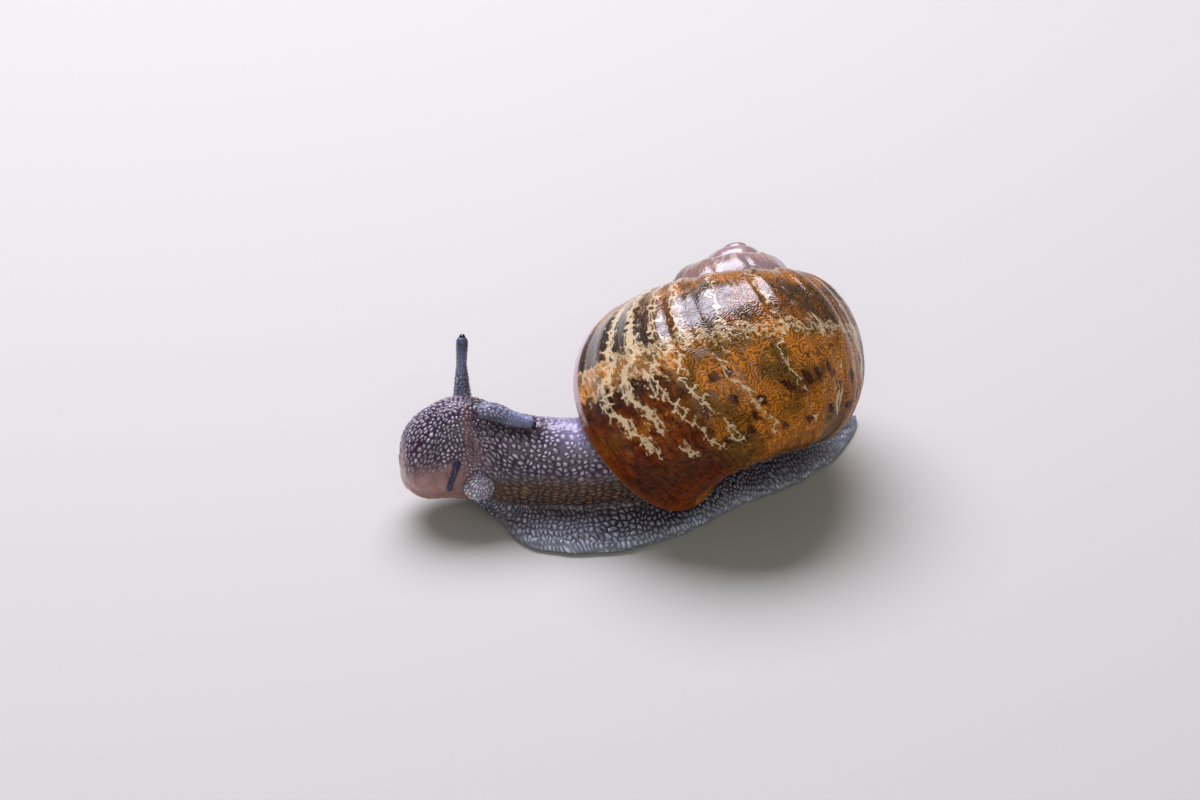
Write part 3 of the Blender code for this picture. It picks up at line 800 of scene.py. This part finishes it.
def body_marks(place, gone, v, feeler, crease):
    """What lies at a place on the body: its flow, its tone with the painted shade of its folds, and how
    bare it is, with the painted sheen of the smooth nape.
    """
    head = step(place.x, -16.5, -20.0)
    skirt = step(place.z, 4.2, 2.2) * step(place.x, -19.0, -16.5)
    near_feeler = min((place - point).length for point in feeler)
    wave = noise.noise(place * 0.45) * 2.2 + noise.noise(place * 1.6) * 0.7
    mirrored = other_side(place)
    cheek = min(min((place - point).length, (mirrored - point).length) for point in crease)
    # painted shade in the fold above the foot, a painted shadow round the feeler's root and painted
    # shade along the crease of the cheek
    fold_painted_shade = 0.8 * math.exp(-(((place.z - 3.9) / 0.45) ** 2))
    fold_painted_shade *= step(place.x, -18.0, -15.0) * step(place.x, 8.0, 0.0)
    fold_painted_shade = max(fold_painted_shade, 0.9 * step(near_feeler, 3.1, 1.9), 0.6 * step(cheek + 0.1 * wave, 0.7, 0.1))
    face = step(place.x + wave, -18.6, -24.0) * step(place.z + wave, 10.8, 6.4)
    face = max(face, 0.45 * step(cheek + 0.12 * wave, 1.15, 0.2))
    sole = step(place.z, 0.25, 0.05) * step(place.x, -16.0, -14.0)
    # the smooth nape under the shell, whose colour is a painted sheen
    smooth_nape_painted_sheen = 0.8 * step(place.x, -12.5, -7.5) * step(place.z, 9.0, 12.0)
    return Vector((gone, v, 0.0)), Vector((head, skirt, fold_painted_shade)), Vector((face, sole, smooth_nape_painted_sheen))


def cheek_crease(count):
    """The middle line of the cheek's crease, down the left of the body's outline."""
    line = []
    for share in np.linspace(0, 1, count):
        _, outline = body_ring(CREASE_STATION + CREASE_SWING * share**2)
        left = outline[HALF_POINTS - 1 :: -1]
        away = [v for place, v in left]
        at = CREASE_FROM + (CREASE_TO - CREASE_FROM) * share
        line.append(Vector([np.interp(at, away, axis) for axis in np.array([p for p, v in left]).T]))
    return line


def add_body(bm, layers):
    """The body from the snout to the tail's tip, with a rounded snout."""
    rings, values, across = [], [], []
    last = len(STATIONS) - 1
    gone, before = 0.0, None
    feeler, crease = smooth_line(UPPER_LEFT, 9), cheek_crease(17)
    for i in range(last * BODY_RINGS + 1):
        centre, outline = body_ring(min(i / BODY_RINGS, last - 1e-6))
        ridge = outline[HALF_POINTS - 1][0]
        if before is not None:
            ahead = ((centre - before[0]) * Vector((1, 1, 0))).length
            gone += 0.4 * ahead + 0.6 * (ridge - before[1]).length
        before = centre, ridge
        rings.append([place for place, v in outline])
        across.append([v for place, v in outline])
        values.append([body_marks(place, gone, v, feeler, crease) for place, v in outline])
    first, forward = rings[0], (SNOUT - NAPE).normalized()
    middle = sum(first, Vector()) / len(first)
    radius = sum((place - middle).length for place in first) / len(first)
    for share, reach in SNOUT_CAP:
        ring = [middle + (place - middle) * share + forward * reach for place in first]
        rings.insert(0, ring)
        inward = radius * (share - 1)
        marked = zip(ring, across[0])
        values.insert(0, [body_marks(place, inward, v * share, feeler, crease) for place, v in marked])
    loft(bm, rings, values, layers)


def smooth_line(points, count):
    """Points on a smooth curve through the given ones."""
    points = [Vector(p) for p in points]
    padded = [points[0] * 2 - points[1]] + points + [points[-1] * 2 - points[-2]]
    line = []
    for k in range(count):
        t = min((len(points) - 1) * k / (count - 1), len(points) - 1 - 1e-6)
        i, f = int(t), t - int(t)
        a, b, c, d = padded[i : i + 4]
        bend, twist = 2 * a - 5 * b + 4 * c - d, 3 * b - a - 3 * c + d
        line.append(0.5 * (2 * b + (c - a) * f + bend * f**2 + twist * f**3))
    return line


def add_feeler(bm, layers, points, radii, kind, bare=1.0, dark=0.0):
    """A feeler, or any soft finger of flesh, with a rounded tip."""
    line = smooth_line(points, FEELER_RINGS)
    places = np.linspace(0, 1, FEELER_RINGS)
    widths = np.interp(places, np.linspace(0, 1, len(radii)), radii)
    angles = [2 * math.pi * i / FEELER_POINTS for i in range(FEELER_POINTS)]
    fine = 1.0 + 0.4 * bare
    rings, values, gone = [], [], 0.0
    for k, centre in enumerate(line):
        ahead = (line[min(k + 1, FEELER_RINGS - 1)] - line[max(k - 1, 0)]).normalized()
        side = ahead.cross(Vector((0, 0.3, 1))).normalized()
        ways = [side * math.cos(a) + side.cross(ahead) * math.sin(a) for a in angles]
        if k:
            gone += (centre - line[k - 1]).length
        rings.append([centre + way * widths[k] for way in ways])
        tone = Vector((bare, 1 - bare, dark * step(k, 28, 38)))
        smooth = 0.9 if kind == LOWER_FEELER else 0.2 * step(k, 0, 10) + 0.72 * step(k, 16, 36)
        along, round_it = gone * fine + KIND_SPACING * kind, widths[k] * fine
        flows = [Vector((along, (a - math.pi) * round_it, kind)) for a in angles]
        values.append([(flow, tone, Vector((0, 0, bare * smooth))) for flow in flows])
    for k in range(1, 7):
        turn = math.pi / 2 * k / 6.3
        centre = line[-1] + ahead * widths[-1] * math.sin(turn)
        rings.append([centre + way * widths[-1] * math.cos(turn) for way in ways])
        flow = Vector((along, 0, kind))
        values.append([(flow, Vector((bare, 1 - bare, dark)), Vector((0, 0, bare)))] * FEELER_POINTS)
    loft(bm, rings, values, layers)


def other_side(point):
    """The place across the head's middle plane."""
    return point - 2 * (point - NAPE).dot(ACROSS) * ACROSS


def ball(centre, radii, rows, around):
    """The rings of a ball from its foot to its top, with the angles down and round."""
    rings, angles = [], []
    for k in range(1, rows):
        turn = math.pi * k / rows
        angles.append([(turn, 2 * math.pi * i / around) for i in range(around)])
        round_it = [(math.cos(a) * math.sin(turn), math.sin(a) * math.sin(turn)) for t, a in angles[-1]]
        rings.append([centre + Vector((x, y, -math.cos(turn))) * radii for x, y in round_it])
    return rings, angles


def add_lobe(bm, layers, centre):
    """A pale lobe beside the mouth."""
    rings, angles = ball(centre, LOBE_RADII, LOBE_RINGS, LOBE_POINTS)
    values = []
    for row in angles:
        flows = [Vector((LOBE_START + t * 2.3, (a - math.pi) * 2.1 * math.sin(t), LOBE)) for t, a in row]
        values.append([(flow, Vector((1, 0, 0)), Vector((0, 0, 0))) for flow in flows])
    loft(bm, rings, values, layers)


def add_collar(bm, layers, shell):
    """The mantle's collar, which fills the mouth of the shell and joins the body."""
    rings, values = [], []
    for turn, margin in COLLAR:
        ring = shell_ring(shell, shell.whorls + turn, margin * MM, COLLAR_POINTS)
        rings.append([(place - SHIFT) / MM for place in ring])
        flows = [Vector((COLLAR_START + i * 0.6, turn * 100, PLAIN_FLESH)) for i in range(COLLAR_POINTS)]
        # the collar lies under the shell's lip: a share of head granules, the bare face colour and half
        # the painted shade
        values.append([(flow, Vector((0.3, 0, 0.5)), Vector((0.7, 0, 0))) for flow in flows])
    loft(bm, rings, values, layers)


# What the raw flesh says of each point: its flow is how far along and across it lies and
# its kind of flesh, its tone is head, skirt and a darkening, which is painted shade in folds
# and creases and also darkens one feeler's tip, and bare is face, sole and smooth skin, which on the
# nape takes a painted sheen.
MARKS = ("flow", "tone", "bare")

# The skin's granules, which the mesh and the finish both read: round on the neck and
# finer on the head, flat and stretched along the flank, and in rows down the skirt.
HIDE_ROWS = (
    ("flows", "split", "flow"),
    ("tones", "split", "tone"),
    ("bares", "split", "bare"),
    ("warp", "*+", ("flat noise", "flow", 0.3, 1.0), 1.2, -0.6),
    ("spot", "join", ("+", "flows.X", "warp"), ("+", "flows.Y", "warp"), 0.0),
    ("neck at", "stretch", "spot", (1.32, 1.62, 0.0)),
    ("neck dot", "cells", "neck at", 1.0, 0.72),
    ("flank gap", "cell gaps", ("stretch", "spot", (1.15, 1.95, 0.0)), 1.0, 0.6),
    ("edge gap", "cell gaps", ("stretch", "spot", (2.5, 0.9, 0.0)), 1.0, 0.6),
    ("skirt gap", "cell gaps", ("stretch", "spot", (1.95, 1.3, 0.0)), 1.0, 0.7),
    ("neck open", "smooth", ("cell gaps", "neck at", 1.0, 0.72), 0.02, 0.26),
    ("neck", "*", "neck open", ("smooth", "neck dot", 0.55, 0.12)),
    ("head open", "smooth", ("cell gaps", "neck at", 1.22, 0.8), 0.02, 0.3),
    ("head", "*", "head open", ("smooth", ("cells", "neck at", 1.22, 0.8), 0.6, 0.12)),
    ("skirt gaps", "mix", ("smooth", "place.Z", 1.8 * MM, 0.9 * MM), "skirt gap", "edge gap"),
    ("flank low", "smooth", "place.Z", 8.5 * MM, 6.2 * MM),
    ("with flank", "mix", "flank low", "neck", ("smooth", "flank gap", 0.02, 0.32, 0.0, 0.8)),
    ("with head", "mix", "tones.X", "with flank", "head"),
    ("granule", "mix", "tones.Y", "with head", ("smooth", "skirt gaps", 0.0, 0.4)),
    # the mouth, a curved slit between two lips low on the snout, placed in millimetres
    ("lateral", "*+", "place.Y", ACROSS.y / MM, ("*+", "place.X", ACROSS.x / MM, MOUTH_OFFSET)),
    ("lateral squared", "*", "lateral", "lateral"),
    ("mouth z", "*+", "place.Z", 1 / MM, -MOUTH_HEIGHT),
    ("mouth off", "absolute", ("*+", "lateral squared", 0.13, "mouth z")),
    ("mouth front", "smooth", "place.X", -26.8 * MM, -27.7 * MM),
    ("mouth place", "*", ("smooth", "lateral squared", 3.4, 1.2), "mouth front"),
    ("mouth", "*", ("smooth", "mouth off", 0.3, 0.05), "mouth place"),
    ("lip swell", "*", ("smooth", "mouth off", 1.3, 0.5), "mouth place"),
    ("barer", "maximum", ("maximum", ("*", "bares.X", 0.85), "bares.Y"), "bares.Z"),
    ("raised", "*", "granule", ("range", "barer", 0.0, 1.0, 1.0, 0.12)),
)


def skin_material(settings):
    """Snail skin: wet, see-through flesh over dark pigment, set with pale granules.
    The slime gives a clear gloss, and the flesh under it scatters light softly."""
    rows = (
        *((mark + " name", "attribute", mark) for mark in MARKS),
        *((mark, "as vector", mark + " name.Vector") for mark in MARKS),
        ("object", "coordinates"),
        ("place", "split", "object.Object"),
        *HIDE_ROWS,
        ("mottle", "noise", "object.Object", 0.42 / MM, 4.0, 0.65),
        ("mottle shade", "range", "mottle", 0.3, 0.7, 0.65, 1.35),
        ("lobe part", "compare", "flows.Z", LOBE, 0.4),
        # the furrows: purple above, brown down the flank, slate on the skirt
        ("furrow flank", "blend", "flank low", settings.groove, settings.flank),
        ("pale edge", "*", ("smooth", "place.Z", 2.2 * MM, 0.8 * MM), "tones.Y"),
        ("furrow skirt", "blend", "tones.Y", "furrow flank", settings.slate),
        ("furrow edge", "blend", ("*", "pale edge", 0.3), "furrow skirt", settings.edge),
        ("furrow lobe", "blend", "lobe part", "furrow edge", settings.lobe_furrow),
        ("feeler shade", "scale", settings.feeler, 0.34),
        ("upper feeler", "compare", "flows.Z", UPPER_FEELER, 0.4),
        ("furrow feeler", "blend", "upper feeler", "furrow lobe", "feeler shade"),
        # the granules: pale lilac above, dull on the flank, ash on the skirt, palest on the lobes
        ("granule flank", "blend", "flank low", settings.granule, settings.bead),
        ("granule skirt", "blend", "tones.Y", "granule flank", settings.skirt),
        ("granule edge", "blend", "pale edge", "granule skirt", settings.edge),
        ("granule lobe", "blend", "lobe part", "granule edge", settings.lobe),
        ("granule lit", "scale", "granule lobe", ("range", "neck dot.Color", 0.1, 0.9, 0.5, 1.2)),
        ("skin", "blend", ("range", "granule", 0.1, 0.95), "furrow feeler", "granule lit"),
        ("feeler part", "compare", "flows.Z", (UPPER_FEELER + LOWER_FEELER) / 2, 0.8),
        ("small feeler", "compare", "flows.Z", LOWER_FEELER, 0.4),
        ("feeler kind", "blend", "small feeler", settings.feeler, settings.small_feeler),
        # the feelers' own smooth skin, and on the nape a painted sheen, a painted reflection that
        # lightens the skin to lavender
        ("smooth kind", "blend", "feeler part", settings.painted_nape_sheen, "feeler kind"),
        ("feelered", "blend", "bares.Z", "skin", "smooth kind"),
        ("faced", "blend", ("range", "bares.X", 0.0, 0.9, 0.0, 0.92), "feelered", settings.face),
        # painted shade: the crease colour darkens the folds, the feeler's root, the cheek's crease, the
        # collar and the mouth's slit, and also the right upper feeler's tip
        ("deep", "maximum", "tones.Z", "mouth"),
        ("deepened", "blend", ("*", "deep", 0.85), "faced", settings.crease),
        ("mottled", "scale", ("blend", "bares.Y", "deepened", settings.sole), "mottle shade"),
        ("height", "*+", ("noise", "object.Object", 3.5 / MM, 3.0), 0.12, "raised"),
        ("bump", "bump", 0.7, 0.1 * MM, "height"),
        ("gloss", "range", "mottle", 0.3, 0.7, 0.26, 0.42),
    )
    links = {"Base Color": "mottled", "Normal": "bump", "Roughness": "gloss", "Coat Normal": "bump"}
    # wet tissue, about 1.38, under slime that is nearly smooth
    values = {"IOR": 1.38, "Coat Weight": 1.0, "Coat Roughness": 0.08, "Coat IOR": 1.36}
    values |= {"Subsurface Weight": 0.15, "Subsurface Scale": 0.6 * MM}
    values["Subsurface Radius"] = 1.0, 0.6, 0.5
    return new_finish("wet_skin", rows, links, values)


# The skin's tree: it reads what lies where from the raw flesh, then raises the granules.
SKIN_ROWS = (
    ("place", "split", ("position",)),
    ("source", "object", "in.Flow"),
    *((mark + " name", "named", mark) for mark in MARKS),
    *((mark, "nearest", "source.Geometry", mark + " name") for mark in MARKS),
    *HIDE_ROWS,
    ("with tone", "store", ("store", "in.Geometry", "flow", "flow"), "tone", "tone"),
    # the relief fades out just above the floor
    ("lift", "*", ("*", "raised", "in.Granule Height"), ("range", "place.Z", 0.2 * MM, 1.0 * MM)),
    ("cut", "*+", "mouth", -0.45 * MM, "lift"),
    ("move", "scale", ("normal",), ("*+", "lip swell", 0.2 * MM, "cut")),
    ("smooth", "shade smooth", ("move by", ("store", "with tone", "bare", "bare"), "move")),
    ("coloured", "set material", ("realize", "smooth"), "in.Material"),
)


def flow_mesh(shell):
    """The flesh before it is fused: body, feelers, lobes and collar, with what lies where."""
    bm = bmesh.new()
    layers = [bm.verts.layers.float_vector.new(mark) for mark in MARKS]
    add_body(bm, layers)
    add_feeler(bm, layers, UPPER_LEFT, UPPER_LEFT_RADII, UPPER_FEELER)
    add_feeler(bm, layers, UPPER_RIGHT, UPPER_RIGHT_RADII, UPPER_FEELER, dark=0.75)
    left = [Vector(point) + LOWER_LIFT * lift for point, lift in zip(LOWER_LEFT, LOWER_LIFTS)]
    add_feeler(bm, layers, left, LOWER_RADII, LOWER_FEELER)
    add_feeler(bm, layers, [other_side(point) for point in left], LOWER_RADII, LOWER_FEELER)
    add_lobe(bm, layers, LOBE_CENTRE + LOBE_SINK)
    add_lobe(bm, layers, other_side(LOBE_CENTRE + LOBE_SINK))
    add_feeler(bm, layers, LEFT_BRIDGE, BRIDGE_RADII, PLAIN_FLESH, bare=0.0)
    add_feeler(bm, layers, RIGHT_BRIDGE, BRIDGE_RADII, PLAIN_FLESH, bare=0.0)
    add_collar(bm, layers, shell)
    return mesh_of(bm, "flow")


class SNAIL_OT_skin(bpy.types.Operator):
    """Fuses the flesh into one skin and raises its granules with geometry nodes"""

    bl_idname = "snail.skin"
    bl_label = "Skin"

    def execute(self, context):
        settings = context.scene.snail_skin
        material = skin_material(settings)
        source = in_scene("flow", flow_mesh(context.scene.snail_shell))
        fused = in_scene("fused", source.data.copy())
        modifier = fused.modifiers.new("fuse", "REMESH")
        modifier.mode = "VOXEL"
        modifier.voxel_size = settings.voxel
        modifier = fused.modifiers.new("soften", "SMOOTH")
        modifier.iterations = 4
        mesh = plain(fused)
        # the fused sole lies flat on the floor
        places = np.zeros(len(mesh.vertices) * 3, np.float32)
        mesh.vertices.foreach_get("co", places)
        places[2::3] = np.maximum(places[2::3], 0.0)
        mesh.vertices.foreach_set("co", places)
        values = {"Geometry": None, "Flow": source, "Granule Height": settings.relief}
        mesh = grown("raise_granules", mesh, SKIN_ROWS, {**values, "Material": material})
        bpy.data.objects.remove(source)
        mesh = thinned(mesh, settings.triangles)
        mesh.name = "skin_fused"
        paired = ("lobe", "upper_feeler", "lower_feeler")
        pairs = [f"{part}_{side}" for part in paired for side in ("left", "right")]
        nodes = ["head", "neck", "trunk", "foot", "tail", "mantle", *pairs]
        placed("skin", mesh, material, nodes)
        return {"FINISHED"}


def eye_material(settings):
    """Eye: black pigment under a clear, wet skin, so it reads as a glossy bead."""
    rows = (
        ("object", "coordinates"),
        ("haze", "noise", "object.Object", 4.0 / MM, 2.0),
        ("shade", "blend", ("range", "haze", 0.3, 0.8), settings.black, settings.haze),
        ("gloss", "range", "haze", 0.2, 0.8, 0.15, 0.3),
        ("bump", "bump", 0.15, 0.02 * MM, "haze"),
    )
    links = {"Base Color": "shade", "Roughness": "gloss", "Normal": "bump"}
    # the clear skin over the eye is smooth and wet
    values = {"IOR": 1.4, "Coat Weight": 1.0, "Coat Roughness": 0.05}
    return new_finish("eye_wet_black", rows, links, values)


class SNAIL_OT_eyes(bpy.types.Operator):
    """Sets a dark, wet eye in the tip of each upper feeler"""

    bl_idname = "snail.eyes"
    bl_label = "Eyes"

    def execute(self, context):
        settings = context.scene.snail_eyes
        material = eye_material(settings)
        for side in ("left", "right"):
            low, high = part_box("eye_" + side)
            # a bead a little longer than wide, with the faint unevenness of a living eye
            radii = Vector((0.97, 0.97, 1.05)) * settings.radius / MM
            rings, _ = ball(Vector(), radii, EYE_RINGS, EYE_POINTS)
            rings = [[point * (1 + 0.02 * noise.noise(point * 4)) for point in ring] for ring in rings]
            bm = bmesh.new()
            loft(bm, rings, [[()] * EYE_POINTS] * len(rings), [])
            bmesh.ops.translate(bm, vec=(low + high) / 2 - SHIFT, verts=bm.verts)
            mesh = mesh_of(bm, "eye_bead_" + side)
            placed("eye_bead_" + side, mesh, material, ["eye_" + side])
        return {"FINISHED"}


# The stage: the floor's half width, where each light stands, its width and depth and its
# colour, the light all round, and the camera, which is slid by a share of its width.
FLOOR_REACH = 1.5
LIGHT_AIM = Vector((0, 0, 0.01))
LIGHTS = {
    "sky": ((0.04, 0.28, 0.46), (0.6, 0.34), (0.87, 0.84, 1.0)),
    "fill": ((-0.25, -0.5, 0.4), (0.5, 0.5), (1.0, 0.97, 0.93)),
}
WORLD_COLOUR, WORLD_STRENGTH = (0.75, 0.77, 0.82, 1), 0.2
CAMERA_AIM = Vector((-2.1, 3.35, 12.0)) * MM
CAMERA_AZIMUTH, CAMERA_ELEVATION = math.radians(-28.0), math.radians(36.0)
CAMERA_DISTANCE = 0.401
CAMERA_LENS, CAMERA_SENSOR, CAMERA_SHIFT = 100.0, 36.0, -1 / 48


def add_light(name, power):
    """Adds one of the stage's soft lights."""
    place, size, shade = LIGHTS[name]
    light = bpy.data.lights.new(name, "AREA")
    light.shape = "ELLIPSE"
    light.size, light.size_y = size
    light.energy = power
    light.color = shade
    obj = in_scene(name, light)
    obj.location = place
    obj.rotation_euler = (LIGHT_AIM - obj.location).to_track_quat("-Z", "Y").to_euler()


def paper_material(settings):
    """Studio paper: matt, with a faint tooth, so the floor reads as plain."""
    rows = (
        ("object", "coordinates"),
        ("bump", "bump", 0.1, 0.1 * MM, ("noise", "object.Object", 0.9 / MM, 3.0)),
    )
    values = {"Base Color": (*settings.floor, 1), "Roughness": 0.8}
    return new_finish("studio_paper", rows, {"Normal": "bump"}, values)


class SNAIL_OT_stage(bpy.types.Operator):
    """Lays the floor and sets the lights and the camera"""

    bl_idname = "snail.stage"
    bl_label = "Stage"

    def execute(self, context):
        settings = context.scene.snail_stage
        bm = bmesh.new()
        bmesh.ops.create_grid(bm, x_segments=8, y_segments=8, size=FLOOR_REACH)
        mesh = bpy.data.meshes.new("floor")
        bm.to_mesh(mesh)
        bm.free()
        mesh.materials.append(paper_material(settings))
        in_scene("floor", mesh)
        add_light("sky", settings.sky)
        add_light("fill", settings.fill)
        world = bpy.data.worlds.new("studio")
        world.use_nodes = True
        background = world.node_tree.nodes["Background"].inputs
        background["Color"].default_value = WORLD_COLOUR
        background["Strength"].default_value = WORLD_STRENGTH
        context.scene.world = world
        context.scene.view_settings.view_transform = "Standard"
        turned = Matrix.Rotation(CAMERA_AZIMUTH, 3, "Z")
        back = turned @ Vector((0, -math.cos(CAMERA_ELEVATION), math.sin(CAMERA_ELEVATION)))
        camera = in_scene("camera", bpy.data.cameras.new("camera"))
        camera.data.lens, camera.data.sensor_width = CAMERA_LENS, CAMERA_SENSOR
        camera.data.shift_x = CAMERA_SHIFT
        camera.data.clip_start = 0.01
        camera.location = CAMERA_AIM + back * CAMERA_DISTANCE
        camera.rotation_euler = (-back).to_track_quat("-Z", "Y").to_euler()
        context.scene.camera = camera
        return {"FINISHED"}


class SNAIL_PT_panel(bpy.types.Panel):
    """Lists each piece's settings and the button that makes it"""

    bl_label = "Garden Snail"
    bl_idname = "SNAIL_PT_panel"
    bl_space_type = "VIEW_3D"
    bl_region_type = "UI"
    bl_category = "Snail"

    def draw(self, context):
        for name, (group, operator) in GROUPS.items():
            box = self.layout.box()
            box.operator(operator.bl_idname)
            settings = getattr(context.scene, name)
            for key in group.__annotations__:
                box.prop(settings, key)


GROUPS = {
    "snail_shell": (ShellSettings, SNAIL_OT_shell),
    "snail_skin": (SkinSettings, SNAIL_OT_skin),
    "snail_eyes": (EyeSettings, SNAIL_OT_eyes),
    "snail_stage": (StageSettings, SNAIL_OT_stage),
}


def register():
    """Registers the settings, the operators and the panel."""
    for name, (group, operator) in GROUPS.items():
        bpy.utils.register_class(group)
        bpy.utils.register_class(operator)
        setattr(bpy.types.Scene, name, bpy.props.PointerProperty(type=group))
    bpy.utils.register_class(SNAIL_PT_panel)


def unregister():
    """Takes the panel, the operators and the settings away again."""
    bpy.utils.unregister_class(SNAIL_PT_panel)
    for name, (group, operator) in reversed(GROUPS.items()):
        delattr(bpy.types.Scene, name)
        bpy.utils.unregister_class(operator)
        bpy.utils.unregister_class(group)


def main():
    """Makes every piece and the stage."""
    register()
    for name in ("shell", "skin", "eyes", "stage"):
        getattr(bpy.ops.snail, name)()


if __name__ == "__main__":
    main()
